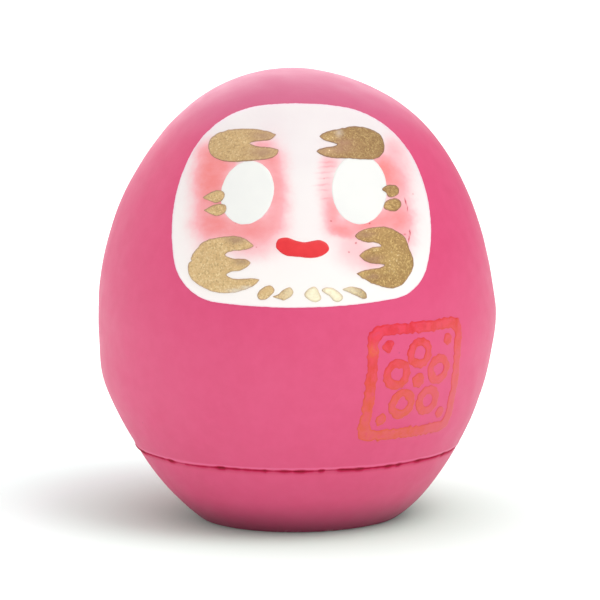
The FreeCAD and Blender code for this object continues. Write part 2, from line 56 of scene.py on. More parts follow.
# ------------------------------------------------------------------ the egg
# Three tangent arcs on each side of the axis.
WIDEST = 31.7
BELLY_ARC = 40.0
SHOULDER_ARC = 45.3
CROWN_REACH = BODY_HEIGHT - WIDEST
SHOULDER_INSET = SHOULDER_ARC - BODY_RADIUS
CROWN_ARC = (SHOULDER_ARC ** 2 - SHOULDER_INSET ** 2 - CROWN_REACH ** 2) / (
    2 * (SHOULDER_ARC - CROWN_REACH))
CROWN_UP = BODY_HEIGHT - CROWN_ARC
CROWN_TURN = math.atan2(CROWN_UP - WIDEST, SHOULDER_INSET)

SHELL_WALL = 2.0
CUP_WALL = 2.5
CUP_FLOOR = 3.0
BOWL_RADIUS = 20.0
SPIGOT_RADIUS = 22.6
SPIGOT_HEIGHT = 4.0
FOOT_EDGE = 1.0

# levels of the coats above the bare egg
FACE_COAT = 0.2
EYE_COAT = 0.1
GOLD_COAT = 0.18
MOUTH_COAT = 0.15
SEAL_COAT = 0.08
SEAL_AZIMUTH = math.radians(33.8)

SEGMENTS = 384
ROW_PITCH = 0.75
INNER_PITCH = 2.2
BOWL_PITCH = 1.5
FILLET_STEPS = 8
SHARP_ANGLE = 50

SEAM_BAND = 0.62         # how far from the seam its own rows reach
SEAM_RADIUS = 25.3       # the body's radius there
INNER_LIP = 0.02         # how far above the seam the shell's inside begins


def egg_radius(height, growth=0.0):
    """Radius of the egg at a height, grown outwards."""
    height = np.asarray(height, float)
    belly, shoulder, crown = BELLY_ARC + growth, SHOULDER_ARC + growth, CROWN_ARC + growth
    rise = height - WIDEST
    lower = BODY_RADIUS - BELLY_ARC + np.sqrt(np.maximum(belly ** 2 - rise ** 2, 0))
    middle = -SHOULDER_INSET + np.sqrt(np.maximum(shoulder ** 2 - rise ** 2, 0))
    upper = np.sqrt(np.maximum(crown ** 2 - (height - CROWN_UP) ** 2, 0))
    joint = WIDEST + shoulder * math.sin(CROWN_TURN)
    return np.where(rise < 0, lower, np.where(height < joint, middle, upper))


def meridian(growth, bottom, pitch):
    """(radius, height, outward radius, outward height) rows up the egg, without the pole."""
    start = math.asin((bottom - WIDEST) / (BELLY_ARC + growth))
    arcs = [
        (BODY_RADIUS - BELLY_ARC, WIDEST, BELLY_ARC, start, 0.0),
        (-SHOULDER_INSET, WIDEST, SHOULDER_ARC, 0.0, CROWN_TURN),
        (0.0, CROWN_UP, CROWN_ARC, CROWN_TURN, math.pi / 2),
    ]
    rows = []
    for across, up, arc, first, last in arcs:
        radius = arc + growth
        count = math.ceil(radius * (last - first) / pitch)
        for step in range(count):
            angle = first + (last - first) * step / count
            rows.append((across + radius * math.cos(angle), up + radius * math.sin(angle),
                         math.cos(angle), math.sin(angle)))
    return rows


def random_field(seed, wavelength, count=28):
    """A smooth random field over points, of about unit spread: waves in many directions."""
    random = np.random.default_rng(seed)
    heading = random.normal(size=(count, 3))
    heading /= np.linalg.norm(heading, axis=1)[:, None]
    waves = heading * (TURN / (wavelength * random.uniform(0.6, 1.7, count)))[:, None]
    phases = random.uniform(0, TURN, count)
    return lambda points: np.sin(points @ waves.T + phases).sum(1) / math.sqrt(count / 2)


broad_lumps = random_field(11, 17.0)
small_lumps = random_field(12, 5.5)


# Where the moulded body is fuller or flatter than a true egg: (middle, reach, amount).
BULGES = [
    ((-26, 0, 59), (14, 22, 7.0), -0.22),
    ((26, 0, 57.5), (14, 22, 6.5), 0.30),
    ((31, 0, 31.5), (10, 20, 4.5), 0.40),
    ((-29, 0, 22.5), (10, 20, 4.1), 0.55),
    ((-25, 0, 11.5), (10, 20, 4.0), -0.22),
    ((18, 0, 1), (8, 18, 8.0), 0.58),
    ((-6, 0, 70), (7, 14, 6.0), 0.17),
    ((9, 0, 69), (7, 14, 6.0), -0.20),
]


def lumps(points):
    """How far hand-made paper and paint stand off the true egg."""
    push = 0.03 * broad_lumps(points) + 0.012 * small_lumps(points)
    for middle, reach, amount in BULGES:
        push += amount * np.exp(-(((points - middle) / reach) ** 2).sum(1))
    return push


def on_egg(across, height, level, turn=0.0):
    """Points of the lumpy egg at a level above it, seen straight on from azimuth turn."""
    cosine, sine = math.cos(turn), math.sin(turn)

    def at(growth):
        depth = -np.sqrt(np.maximum(egg_radius(height, growth) ** 2 - across ** 2, 0))
        return np.stack([across * cosine - depth * sine, across * sine + depth * cosine,
                         height + 0 * across], 1)

    return at(level + lumps(at(0.0)))


# ------------------------------------------------------------------ meshes
def solid(name, points, faces, label, values):
    """A closed mesh from points in millimetres, smooth except over sharp edges.

    The values, one for each point, are kept under the label for the materials."""
    mesh = bpy.data.meshes.new(name)
    mesh.from_pydata((np.asarray(points) * MM).tolist(), [], faces)
    mesh.validate()
    layer = mesh.attributes.new(label, "FLOAT", "POINT")
    layer.data.foreach_set("value", np.asarray(values, np.float32))
    piece = bpy.data.objects.new(name, mesh)
    bpy.context.scene.collection.objects.link(piece)
    mesh.shade_smooth()
    mesh.set_sharp_from_angle(angle=math.radians(SHARP_ANGLE))
    return piece


def lathe(name, rings, marks):
    """A closed body turned about the axis; the first and last rings are single points."""
    points, values, faces, starts = [], [], [], []
    for row, mark in zip(rings, marks):
        starts.append(len(points))
        points.extend(row.tolist())
        values.extend(np.broadcast_to(mark, len(row)).tolist())
    for here, there, one, other in zip(starts, starts[1:], rings, rings[1:]):
        for i in range(SEGMENTS):
            j = (i + 1) % SEGMENTS
            if len(one) == 1:
                faces.append((here, there + j, there + i))
            elif len(other) == 1:
                faces.append((here + i, here + j, there))
            else:
                faces.append((here + i, here + j, there + j, there + i))
    return solid(name, points, faces, "crevice", values)


angles = np.arange(SEGMENTS) / SEGMENTS * TURN
azimuths = (np.degrees(angles) + 180) % 360 - 180


def ring(radius, height):
    """A full ring of points; radius and height are numbers or one value per azimuth."""
    radius, height = np.broadcast_to(radius, SEGMENTS), np.broadcast_to(height, SEGMENTS)
    return np.stack([radius * np.sin(angles), -radius * np.cos(angles), height], 1)


def egg_ring(row):
    """A ring of the outside, pushed in and out by the lumps."""
    radius, height, out, up = row
    push = lumps(ring(radius, height))
    if up < 0:
        return ring(radius + push / out, height)
    return ring(radius + out * push, height + up * push)


# ------------------------------------------------------------------ the seam
# Where paint bridges the seam, and where it gapes: (azimuth, half width, strength).
SEAM_MARKS = [
    (-52.6, 1.6, 0.7), (-47.4, 2.2, -0.6), (-30.2, 1.7, 1.0), (-21.0, 6.0, 0.15),
    (-14.2, 0.9, 0.6), (-7.0, 1.6, 0.45), (-2.2, 2.0, 0.6), (5.0, 0.9, 0.5),
    (8.3, 1.9, -0.6), (13.5, 3.2, 0.45), (18.5, 1.6, 0.75), (24.0, 2.5, 0.2),
    (30.0, 1.7, 0.65), (34.1, 1.1, 0.7), (43.4, 1.7, 0.6), (51.0, 6.0, 0.25),
    (58.8, 1.3, 0.6), (66.0, 4.0, 0.3),
]


def seam_strength():
    """How open the seam is at each azimuth, 0 where it is bridged and 1 where it gapes."""
    random = np.random.default_rng(5)
    marks = list(SEAM_MARKS)
    azimuth = 75.0
    while azimuth < 290.0:
        marks.append((azimuth, random.uniform(0.8, 3.2), random.choice([-0.5, 0.35, 0.6, 0.9])))
        azimuth += random.uniform(4.0, 13.0)
    strength = np.full(SEGMENTS, 0.28)
    for middle, half, amount in marks:
        away = np.abs((azimuths - middle + 180) % 360 - 180) / half
        strength += amount * np.exp(-away ** 4)
    grain = random_field(21, 1.1)(ring(SEAM_RADIUS, 0.0)) * 0.07
    return np.clip(strength + grain, 0.0, 1.0)


gape = seam_strength()
seam_line = SEAM + 0.05 * random_field(22, 9.0)(ring(SEAM_RADIUS, 0.0))
groove_half = 0.07 + 0.15 * gape
groove_depth = 0.03 + 0.12 * gape


# The rows over each lip: (away from the groove, push outwards, painted shade where the seam gapes,
# steady mark). A steady mark above 0 is painted shadow just below the seam, and one below 0 is a
# painted highlight on the lip.
SHELL_LIP = ((0.0, 0.02, 0.8, 0.0), (0.06, 0.05, 0.2, 0.0), (0.24, 0.05, 0.0, -0.3))
CUP_LIP = ((0.0, -0.05, 0.9, 0.0), (0.06, -0.02, 0.5, 0.0), (0.24, -0.02, 0.1, 0.1))


def groove(side):
    """Rings from the seam's bottom out over its lip; side is +1 on the shell, -1 on the cup."""
    bottom = seam_line + side * 0.01
    lip = seam_line + side * groove_half
    wall = egg_radius(seam_line)
    rings = [ring(wall - groove_depth, bottom),
             ring(wall - 0.5 * groove_depth, seam_line + side * 0.55 * groove_half)]
    # the groove's bottom rows carry painted shade, darkest where the seam gapes
    marks = [0.1 + 0.8 * gape, 0.05 + 0.8 * gape]
    for out, push, dark, steady in SHELL_LIP if side > 0 else CUP_LIP:
        height = lip + side * out
        points = ring(egg_radius(height), height)
        rings.append(ring(egg_radius(height) + lumps(points) + push, height))
        marks.append(dark * (0.3 + 0.7 * gape) + steady)
    return rings, marks


def make_shell():
    """The moulded shell: hollow, open underneath, with an irregular painted lip."""
    inner = [ring(r, z) for r, z, _, _ in meridian(-SHELL_WALL, SEAM + INNER_LIP,
                                                  INNER_PITCH)]
    lip_rings, lip_marks = groove(1)
    outer = [egg_ring(row) for row in meridian(0.0, SEAM + SEAM_BAND, ROW_PITCH)]
    crown = np.array([[0.0, 0.0, BODY_HEIGHT]])
    crown[0, 2] += lumps(crown)[0]
    rings = [np.array([[0.0, 0.0, BODY_HEIGHT - SHELL_WALL]])] + inner[::-1] + lip_rings
    marks = [0.0] * (1 + len(inner)) + lip_marks + [0.0] * (len(outer) + 1)
    return lathe("shell_painted", rings + outer + [crown], marks)


def make_cup():
    """The base cup: foot, bowl and spigot, with the seam's lower lip."""
    fillet_across = BODY_RADIUS - BELLY_ARC + math.sqrt(
        (BELLY_ARC - FOOT_EDGE) ** 2 - (FOOT_EDGE - WIDEST) ** 2)
    touch = math.atan2(FOOT_EDGE - WIDEST, fillet_across - BODY_RADIUS + BELLY_ARC)
    rings = [np.array([[0.0, 0.0, 0.0]])]
    rings += [ring(radius, 0.0) for radius in (2.0, 6.0, 10.0, 12.5)]
    side = lumps(ring(fillet_across, FOOT_EDGE)) / math.cos(touch)
    for step in range(FILLET_STEPS + 1):
        angle = -math.pi / 2 + (touch + math.pi / 2) * step / FILLET_STEPS
        rings.append(ring(fillet_across + FOOT_EDGE * math.cos(angle) + side,
                          FOOT_EDGE + FOOT_EDGE * math.sin(angle)))
    start = WIDEST + BELLY_ARC * math.sin(touch)
    rings += [egg_ring(row) for row in meridian(0.0, start + 0.5, ROW_PITCH)
              if row[1] < SEAM - SEAM_BAND]
    lip_rings, lip_marks = groove(-1)
    marks = [0.0] * len(rings) + lip_marks[::-1]
    rings += lip_rings[::-1]
    bowl = [(r, z) for r, z, _, _ in meridian(-CUP_WALL, CUP_FLOOR, BOWL_PITCH)
            if r < BOWL_RADIUS]
    spigot = [(SPIGOT_RADIUS, SEAM), (SPIGOT_RADIUS, SEAM + SPIGOT_HEIGHT),
              (BOWL_RADIUS, SEAM + SPIGOT_HEIGHT)]
    rings += [ring(r, z) for r, z in spigot + bowl[::-1]] + [np.array([[0.0, 0.0, CUP_FLOOR]])]
    marks += [0.0] * (len(spigot + bowl) + 1)
    return lathe("base_painted", rings, marks)


# ------------------------------------------------------------------ films of paint
OUTER_WITHIN = 0.012     # how near to a coat's level its outer face lies
LIFT = 0.012             # how far a film clears what it is painted on
DEEPEST = 0.05           # how far a film reaches into what it is painted on
FINE_EDGE = 0.16         # spacing of points along an outline
ROW_RISE = 0.866         # rows of a triangular grid, in pitches
BLOCK = 2000             # points measured at a time


def coat_outlines(node, level, turn):
    """The closed outlines of a CAD coat's outer face, seen straight on from azimuth turn."""
    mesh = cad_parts[node].data
    keys = {}
    corners = []
    for vertex in mesh.vertices:
        x, y, z = vertex.co / MM
        key = (round(x, 4), round(y, 4), round(z, 4))
        corners.append(keys.setdefault(key, len(keys)))
    points = np.array(list(keys))
    stand = np.hypot(points[:, 0], points[:, 1]) - egg_radius(points[:, 2], level)
    outer = np.abs(stand) < OUTER_WITHIN
    edges = {}  # a dict, because it keeps the order of the faces
    for face in mesh.polygons:
        ids = [corners[i] for i in face.vertices]
        if not all(outer[i] for i in ids) or len(set(ids)) < 3:
            continue
        for one, other in zip(ids, ids[1:] + ids[:1]):
            edges[(one, other)] = True
    following = {}
    for one, other in edges:
        if (other, one) not in edges:
            following.setdefault(one, []).append(other)
    cosine, sine = math.cos(turn), math.sin(turn)
    across = points[:, 0] * cosine + points[:, 1] * sine
    outlines = []
    while following:
        start = next(iter(following))
        loop, here = [], start
        while here in following:
            loop.append(here)
            there = following[here].pop()
            if not following[here]:
                del following[here]
            here = there
        outlines.append(np.stack([across[loop], points[loop, 2]], 1))
    return outlines


def resampled(outline, pitch):
    """A closed outline with evenly spaced points."""
    closed = np.vstack([outline, outline[:1]])
    steps = np.hypot(*np.diff(closed, axis=0).T)
    keep = np.concatenate([[True], steps > 1e-6])
    closed = closed[keep]
    travelled = np.concatenate([[0], np.cumsum(np.hypot(*np.diff(closed, axis=0).T))])
    count = max(12, round(travelled[-1] / pitch))
    where = np.linspace(0, travelled[-1], count, endpoint=False)
    return np.stack([np.interp(where, travelled, closed[:, k]) for k in (0, 1)], 1)


def outward(outline):
    """Unit normals of a closed outline, to the right of its run."""
    along = np.roll(outline, -1, 0) - np.roll(outline, 1, 0)
    along /= np.hypot(*along.T)[:, None]
    return np.stack([along[:, 1], -along[:, 0]], 1)


def rim_distance(points, outlines):
    """Distance from each point to the nearest outline."""
    nearest = np.full(len(points), np.inf)
    for outline in outlines:
        run = np.roll(outline, -1, 0) - outline
        length = np.maximum((run ** 2).sum(1), 1e-12)
        for first in range(0, len(points), BLOCK):
            block = slice(first, first + BLOCK)
            part = points[block, None, :] - outline[None]
            share = np.clip((part * run).sum(2) / length, 0, 1)
            gap = np.hypot(*np.moveaxis(part - share[..., None] * run, 2, 0)).min(1)
            nearest[block] = np.minimum(nearest[block], gap)
    return nearest


def inside(points, outlines):
    """True for points within an odd number of the outlines."""
    odd = np.zeros(len(points), bool)
    for outline in outlines:
        ends = np.roll(outline, -1, 0)
        for (x1, z1), (x2, z2) in zip(outline, ends):
            if z1 == z2:
                continue
            crosses = (points[:, 1] < z1) != (points[:, 1] < z2)
            odd ^= crosses & (points[:, 0] < x1 + (points[:, 1] - z1) * (x2 - x1) / (z2 - z1))
    return odd


class Film:
    """A thin film of paint over the egg, with a rounded rim and a slightly uneven top."""

    def __init__(self, node, level, coat, rim, pitch, under=(), turn=0.0, ripple=0.1,
                 wobble=0.0, seed=1):
        self.coat, self.rim, self.pitch = coat, rim, pitch
        self.under, self.turn = under, turn
        self.ripple, self.ripples = ripple, random_field(seed, 2.6)
        wander = random_field(seed + 50, 0.9)
        self.outlines = []
        for outline in coat_outlines(node, level, turn):
            line = resampled(outline, min(pitch, FINE_EDGE))
            aside = wander(np.column_stack([line, np.zeros(len(line))]))
            self.outlines.append(line + outward(line) * (aside * wobble)[:, None])

    def thickness(self, points):
        """The film's own thickness at points of the front view, nothing outside it."""
        apart = rim_distance(points, self.outlines)
        return np.where(inside(points, self.outlines), self.swell(points, apart), 0.0)

    def swell(self, points, apart):
        """The rounded, slightly uneven thickness at a distance from the rim."""
        share = np.clip(apart / self.rim, 0, 1)
        rounded = np.sqrt(1 - (1 - share) ** 2)
        flat = np.column_stack([points, np.zeros(len(points))])
        uneven = 1 + self.ripple * np.clip(self.ripples(flat), -2, 2)
        return self.coat * rounded * uneven

    def ground(self, points):
        """The height of whatever this film is painted on."""
        return sum((film.thickness(points) for film in self.under), np.zeros(len(points)))

    def spread(self):
        """Points over the film in the front view: its outlines, rows along them, a grid."""
        rows = [np.vstack(self.outlines)]
        for depth in (0.25 * self.rim, 0.6 * self.rim, self.rim):
            near = np.vstack([line + way * depth * outward(line)
                              for line in self.outlines for way in (1, -1)])
            near = near[inside(near, self.outlines)]
            rows.append(near[rim_distance(near, self.outlines) > 0.93 * depth])
        lowest, highest = rows[0].min(0), rows[0].max(0)
        pitch = self.pitch
        across = np.arange(lowest[0], highest[0], pitch)
        grid = []
        for row, height in enumerate(np.arange(lowest[1], highest[1], pitch * ROW_RISE)):
            shifted = across + (pitch / 2 if row % 2 else 0)
            grid.append(np.stack([shifted, np.full(len(shifted), height)], 1))
        grid = np.vstack(grid)
        grid = grid[inside(grid, self.outlines)]
        rows.append(grid[rim_distance(grid, self.outlines) > self.rim + 0.6 * pitch])
        return np.vstack(rows)

    def triangulated(self):
        """Points of the front view and the triangles between them, all turned one way."""
        links = []
        for outline in self.outlines:
            first, count = len(links), len(outline)
            links += [(first + i, first + (i + 1) % count) for i in range(count)]
        made = geometry.delaunay_2d_cdt([Vector(p) for p in self.spread()], links, [], 0, 1e-5)
        flat = np.array([tuple(p) for p in made[0]])
        triangles = np.array(made[2])
        middles = flat[triangles].mean(1)
        triangles = triangles[inside(middles, self.outlines)]
        one, two, three = (flat[triangles[:, k]] for k in range(3))
        turned = (two - one)[:, 0] * (three - one)[:, 1] - (two - one)[:, 1] * (three - one)[:, 0]
        triangles = np.where((turned > 0)[:, None], triangles, triangles[:, ::-1])
        used = np.unique(triangles)
        renumber = np.full(len(flat), -1)
        renumber[used] = np.arange(len(used))
        return flat[used], renumber[triangles].tolist()

    def build(self, name):
        """The film as a closed mesh: an outer face, an inner face and the wall between."""
        flat, triangles = self.triangulated()
        apart = rim_distance(flat, self.outlines)
        apart[apart < 1e-4] = 0.0
        ground = self.ground(flat)
        top = on_egg(flat[:, 0], flat[:, 1], ground + LIFT + self.swell(flat, apart), self.turn)
        sunk = min(DEEPEST, 0.6 * self.coat)
        bottom = on_egg(flat[:, 0], flat[:, 1], ground - sunk, self.turn)
        count = len(flat)
        edges = set()
        for a, b, c in triangles:
            edges.update([(a, b), (b, c), (c, a)])
        walls = [(b, a, a + count, b + count) for a, b in edges if (b, a) not in edges]
        faces = [tuple(triangle) for triangle in triangles]
        faces += [(c + count, b + count, a + count) for a, b, c in triangles] + walls
        return solid(name, np.vstack([top, bottom]), faces, "rim",
                     np.concatenate([apart, 0 * apart]))


# ------------------------------------------------------------------ materials
class Shader:
    """A node material with one Principled shader, built up by short calls."""

    def __init__(self, name):
        self.material = bpy.data.materials.new(name)
        self.material.use_nodes = True
        self.tree = self.material.node_tree
        self.tree.nodes.clear()
        self.output = self.tree.nodes.new("ShaderNodeOutputMaterial")
        self.surface = self.tree.nodes.new("ShaderNodeBsdfPrincipled")
        self.tree.links.new(self.surface.outputs[0], self.output.inputs["Surface"])
        coordinates = self.node("ShaderNodeTexCoord").outputs["Object"]
        self.place = self.node("ShaderNodeVectorMath", {0: coordinates, 3: 1 / MM},
                               operation="SCALE").outputs[0]

    def put(self, socket, value):
        if isinstance(value, bpy.types.NodeSocket):
            self.tree.links.new(value, socket)
        else:
            socket.default_value = value

    def node(self, kind, inputs=None, **settings):
        made = self.tree.nodes.new(kind)
        for key, value in settings.items():
            setattr(made, key, value)
        for key, value in (inputs or {}).items():
            self.put(made.inputs[key], value)
        return made

    def set(self, **values):
        for key, value in values.items():
            self.put(self.surface.inputs[key.replace("_", " ")], value)

    def math(self, operation, first, second=0.0, third=0.0, clamp=False):
        return self.node("ShaderNodeMath", {0: first, 1: second, 2: third},
                         operation=operation, use_clamp=clamp).outputs[0]

    def along(self, axis):
        """The place along one axis, 0 to 2, in millimetres."""
        return self.node("ShaderNodeSeparateXYZ", {0: self.place}).outputs[axis]

    def noise(self, scale, detail=2.0, roughness=0.5, stretch=None):
        """Noise between 0 and 1; scale is in cycles per millimetre."""
        place = self.place
        if stretch:
            place = self.node("ShaderNodeMapping", {"Vector": place, "Scale": stretch}).outputs[0]
        return self.node("ShaderNodeTexNoise", {
            "Vector": place, "Scale": scale, "Detail": detail,
            "Roughness": roughness}).outputs[0]

    def range(self, value, low_in, high_in, low_out=0.0, high_out=1.0, smooth=False):
        return self.node("ShaderNodeMapRange", {
            "Value": value, "From Min": low_in, "From Max": high_in, "To Min": low_out,
            "To Max": high_out}, interpolation_type="SMOOTHSTEP" if smooth else "LINEAR",
            clamp=True).outputs[0]

    def mix(self, factor, first, second, blend="MIX"):
        made = self.node("ShaderNodeMix", data_type="RGBA", blend_type=blend)
        for socket, value in zip((0, 6, 7), (factor, first, second)):
            self.put(made.inputs[socket], value)
        return made.outputs[2]

    def attribute(self, name):
        return self.node("ShaderNodeAttribute", attribute_name=name).outputs["Fac"]

    def specks(self, scale, size, share, seed=0.0):
        """Sparse round specks: 1 in the middle of a speck, 0 between them."""
        moved = self.node("ShaderNodeVectorMath", {
            0: self.place, 1: (seed, seed * 0.7, seed * 1.3)}, operation="ADD").outputs[0]
        cells = self.node("ShaderNodeTexVoronoi", {"Vector": moved, "Scale": scale,
                                                   "Randomness": 1.0})
        spot = self.range(cells.outputs["Distance"], size * scale, 0.4 * size * scale, smooth=True)
        pick = self.node("ShaderNodeSeparateColor", {0: cells.outputs["Color"]}).outputs[0]
        chosen = self.math("LESS_THAN", pick, share)
        return self.math("MULTIPLY", spot, chosen)

    def patch(self, place, middle, size, lean=0.0, power=2.0):
        """A soft-edged patch in the front view: 1 in the middle, fading out past its size."""
        local = self.node("ShaderNodeMapping", {
            "Vector": place, "Location": (middle[0], 0, middle[1]),
            "Rotation": (0, math.radians(-lean), 0), "Scale": (size[0], 1e6, size[1])},
            vector_type="TEXTURE").outputs[0]
        far = self.node("ShaderNodeVectorMath", {0: local}, operation="LENGTH").outputs["Value"]
        fall = self.math("MULTIPLY", self.math("POWER", far, power), -1.0)
        return self.math("EXPONENT", fall)

    def drifted(self, place, scale, amount):
        """The same place, wandering by up to about half the amount."""
        wander = self.node("ShaderNodeTexNoise", {"Vector": place, "Scale": scale, "Detail": 2.0})
        step = self.node("ShaderNodeVectorMath", {0: wander.outputs["Color"], 1: (0.5,) * 3},
                         operation="SUBTRACT").outputs[0]
        return self.node("ShaderNodeVectorMath", {0: step, 1: (amount,) * 3, 2: place},
                         operation="MULTIPLY_ADD").outputs[0]

    def veil(self, clear, patch, strength):
        """What is still clear once a patch of some strength lies over it."""
        left = self.math("MULTIPLY_ADD", patch, -strength, 1.0)
        return left if clear is None else self.math("MULTIPLY", clear, left)

    def any_patch(self, place, patches, power=2.0):
        """1 inside any of several (middle, half size) patches."""
        clear = None
        for middle, size in patches:
            clear = self.veil(clear, self.patch(place, middle, size, 0.0, power), 1.0)
        return self.math("SUBTRACT", 1.0, clear)

    def bump(self, height, distance, strength):
        """The normal over a relief of some height in millimetres."""
        return self.node("ShaderNodeBump", {"Height": height, "Distance": distance * MM,
                                            "Strength": strength}).outputs[0]


def colour(red, green, blue):
    """A display colour, 0 to 255, as the linear colour that a shader takes."""
    def linear(value):
        value /= 255
        return value / 12.92 if value <= 0.04045 else ((value + 0.055) / 1.055) ** 2.4
    return (linear(red), linear(green), linear(blue), 1.0)


def pink_paint(name, shaded_worn_foot=False):
    """Satin pink paint over moulded paper, with pits and specks, painted shade in and below the
    seam, a painted highlight on its lip, and a top painted paler as a highlight.
    """
    s = Shader(name)
    base = s.mix(s.range(s.noise(0.05, 3.0), 0.3, 0.7), colour(222, 66, 118), colour(218, 60, 112))
    base = s.mix(s.range(s.noise(0.5, 4.0, 0.6), 0.35, 0.7, 0.0, 0.35), base,
                 colour(228, 74, 126))
    height = s.along(2)
    # painted highlight: the pink fades paler and less red towards the top of the crown
    base = s.mix(s.range(height, 57.0, 69.0, 0.0, 0.9, smooth=True), base, colour(203, 88, 130))
    pale = s.specks(0.11, 0.16, 0.14)
    base = s.mix(s.math("MULTIPLY", pale, 0.6), base, colour(246, 190, 208))
    pits = s.specks(0.16, 0.2, 0.2, 31.0)
    base = s.mix(s.math("MULTIPLY", pits, 0.4), base, colour(176, 40, 88))
    nicked = s.node("ShaderNodeMapping", {
        "Vector": s.drifted(s.place, 0.6, 0.8), "Rotation": (0.2, 0.7, 0.3),
        "Scale": (1.0, 0.6, 0.22)}).outputs[0]
    nicks = s.node("ShaderNodeTexVoronoi", {"Vector": nicked, "Scale": 0.2, "Randomness": 1.0})
    chosen = s.math("LESS_THAN", s.node("ShaderNodeSeparateColor", {
        0: nicks.outputs["Color"]}).outputs[1], 0.35)
    nick = s.math("MULTIPLY", chosen, s.range(nicks.outputs["Distance"], 0.036, 0.012,
                                              smooth=True))
    base = s.mix(s.math("MULTIPLY", nick, 0.55), base, colour(170, 30, 84))
    crevice = s.attribute("crevice")
    # painted highlight: paler pink where the mark is below 0, on the shell's lip
    base = s.mix(s.range(crevice, 0.0, -0.3), base, colour(234, 96, 142))
    # painted shade: crimson to dark red in the seam's groove and just below it
    base = s.mix(s.range(crevice, 0.0, 0.4), base, colour(196, 2, 70))
    base = s.mix(s.range(crevice, 0.4, 0.9), base, colour(160, 0, 46))
    if shaded_worn_foot:
        # painted shade: the pink darkens towards the foot, where the floor's shadow falls
        base = s.mix(s.range(height, 6.5, 0.0, smooth=True), base, colour(168, 44, 88))
        # wear: the paint is rubbed pale in patches at the foot's very edge
        low_down = s.range(height, 0.5, 0.05)
        worn = s.range(s.noise(0.35, 5.0, 0.65), 0.56, 0.66)
        base = s.mix(s.math("MULTIPLY", low_down, s.math("MULTIPLY", worn, 0.75)), base,
                     colour(232, 190, 190))
    grain = s.noise(1.6, 4.0, 0.6)
    peel = s.noise(0.45, 2.0)
    relief = s.math("ADD", s.math("MULTIPLY", grain, 0.35), s.math("MULTIPLY", peel, 0.65))
    relief = s.math("SUBTRACT", relief, s.math("MULTIPLY", s.math("MAXIMUM", pits, nick), 0.5))
    rough = s.math("MAXIMUM", s.range(s.noise(0.3, 3.0), 0.3, 0.7, 0.46, 0.54),
                   s.range(crevice, 0.05, 0.3, 0.46, 1.0))
    s.set(Base_Color=base, Roughness=rough, Normal=s.bump(relief, 0.05, 0.6))
    s.surface.inputs["Specular IOR Level"].default_value = 0.7
    return s.material


# Rouge brushed round the eyes: (middle, half size, lean in degrees, strength, edge power).
ROUGE = [
    ((-13.4, 56.0), (2.7, 3.6), -8, 0.85, 3.4),
    ((-11.4, 57.5), (1.7, 1.2), 30, 0.70, 2.6),
    ((-13.8, 51.5), (2.6, 5.4), 0, 0.66, 3.4),
    ((-10.6, 48.4), (5.4, 1.9), 0, 0.72, 3.2),
    ((-6.6, 48.6), (3.2, 2.4), 0, 0.55, 2.8),
    ((-4.6, 54.0), (1.7, 5.6), 2, 0.66, 2.8),
    ((-5.6, 58.2), (2.4, 1.6), 0, 0.62, 2.6),
    ((-8.4, 45.8), (3.8, 1.9), 0, 0.46, 2.6),
    ((-15.2, 51.0), (2.2, 8.5), 0, 0.28, 2.6),
    ((-6.4, 60.3), (1.8, 0.8), 0, 0.55, 2.4),
    ((-14.2, 58.9), (2.0, 1.5), 0, 0.50, 2.2),
    ((-3.3, 54.0), (1.4, 5.5), 0, 0.28, 2.2),
    ((12.0, 56.2), (1.6, 2.6), 25, 0.88, 2.6),
    ((13.3, 55.0), (1.9, 2.6), 20, 0.50, 2.6),
    ((14.2, 53.0), (2.4, 7.0), 0, 0.48, 3.0),
    ((13.6, 59.0), (1.6, 1.3), 0, 0.32, 2.2),
    ((12.0, 49.2), (3.6, 1.9), 0, 0.68, 3.0),
    ((8.0, 48.8), (4.4, 1.7), 0, 0.66, 3.0),
    ((5.2, 47.9), (1.9, 0.9), -15, 0.62, 3.6),
    ((4.1, 50.9), (1.2, 2.6), -15, 0.60, 2.4),
    ((3.4, 53.5), (1.3, 5.0), 0, 0.36, 2.4),
    ((4.2, 57.6), (1.4, 0.9), 0, 0.40, 2.4),
    ((7.2, 45.6), (3.0, 3.0), 0, 0.40, 2.6),
    ((10.2, 43.6), (2.4, 1.6), 0, 0.45, 2.4),
    ((14.8, 47.4), (2.0, 3.6), 0, 0.46, 2.8),
]
# The dry brush's last hairs, inside the right eye: (middle across, height, half length).
HAIRS = [(3.4, 57.7, 1.0), (3.5, 57.0, 1.1), (3.0, 56.3, 1.1), (3.1, 55.5, 0.9),
         (2.6, 54.5, 1.1), (2.9, 53.8, 0.8), (3.0, 52.6, 0.7)]
# Spatters and slips of a small red brush: (middle, half size, lean, strength).
SPATTERS = [
    ((15.25, 51.5), (0.10, 0.55), 14, 0.9), ((15.5, 50.5), (0.09, 0.40), -6, 0.75),
    ((15.75, 47.1), (0.12, 0.40), 8, 0.9), ((15.55, 46.2), (0.11, 0.55), -10, 0.8),
    ((14.9, 46.9), (0.25, 0.15), 0, 0.5), ((9.5, 48.85), (0.14, 0.12), 0, 0.8),
    ((7.35, 46.15), (0.16, 0.14), 0, 0.85), ((6.25, 44.9), (0.15, 0.12), 0, 0.7),
    ((3.7, 49.4), (0.15, 0.12), 0, 0.7), ((10.4, 43.15), (0.75, 0.13), -8, 0.7),
    ((16.5, 52.5), (0.13, 0.12), 0, 0.35), ((-10.3, 49.15), (0.13, 0.10), 0, 0.6),
    ((-7.4, 45.75), (0.12, 0.10), 0, 0.6), ((2.9, 55.4), (0.12, 0.10), 0, 0.4),
]


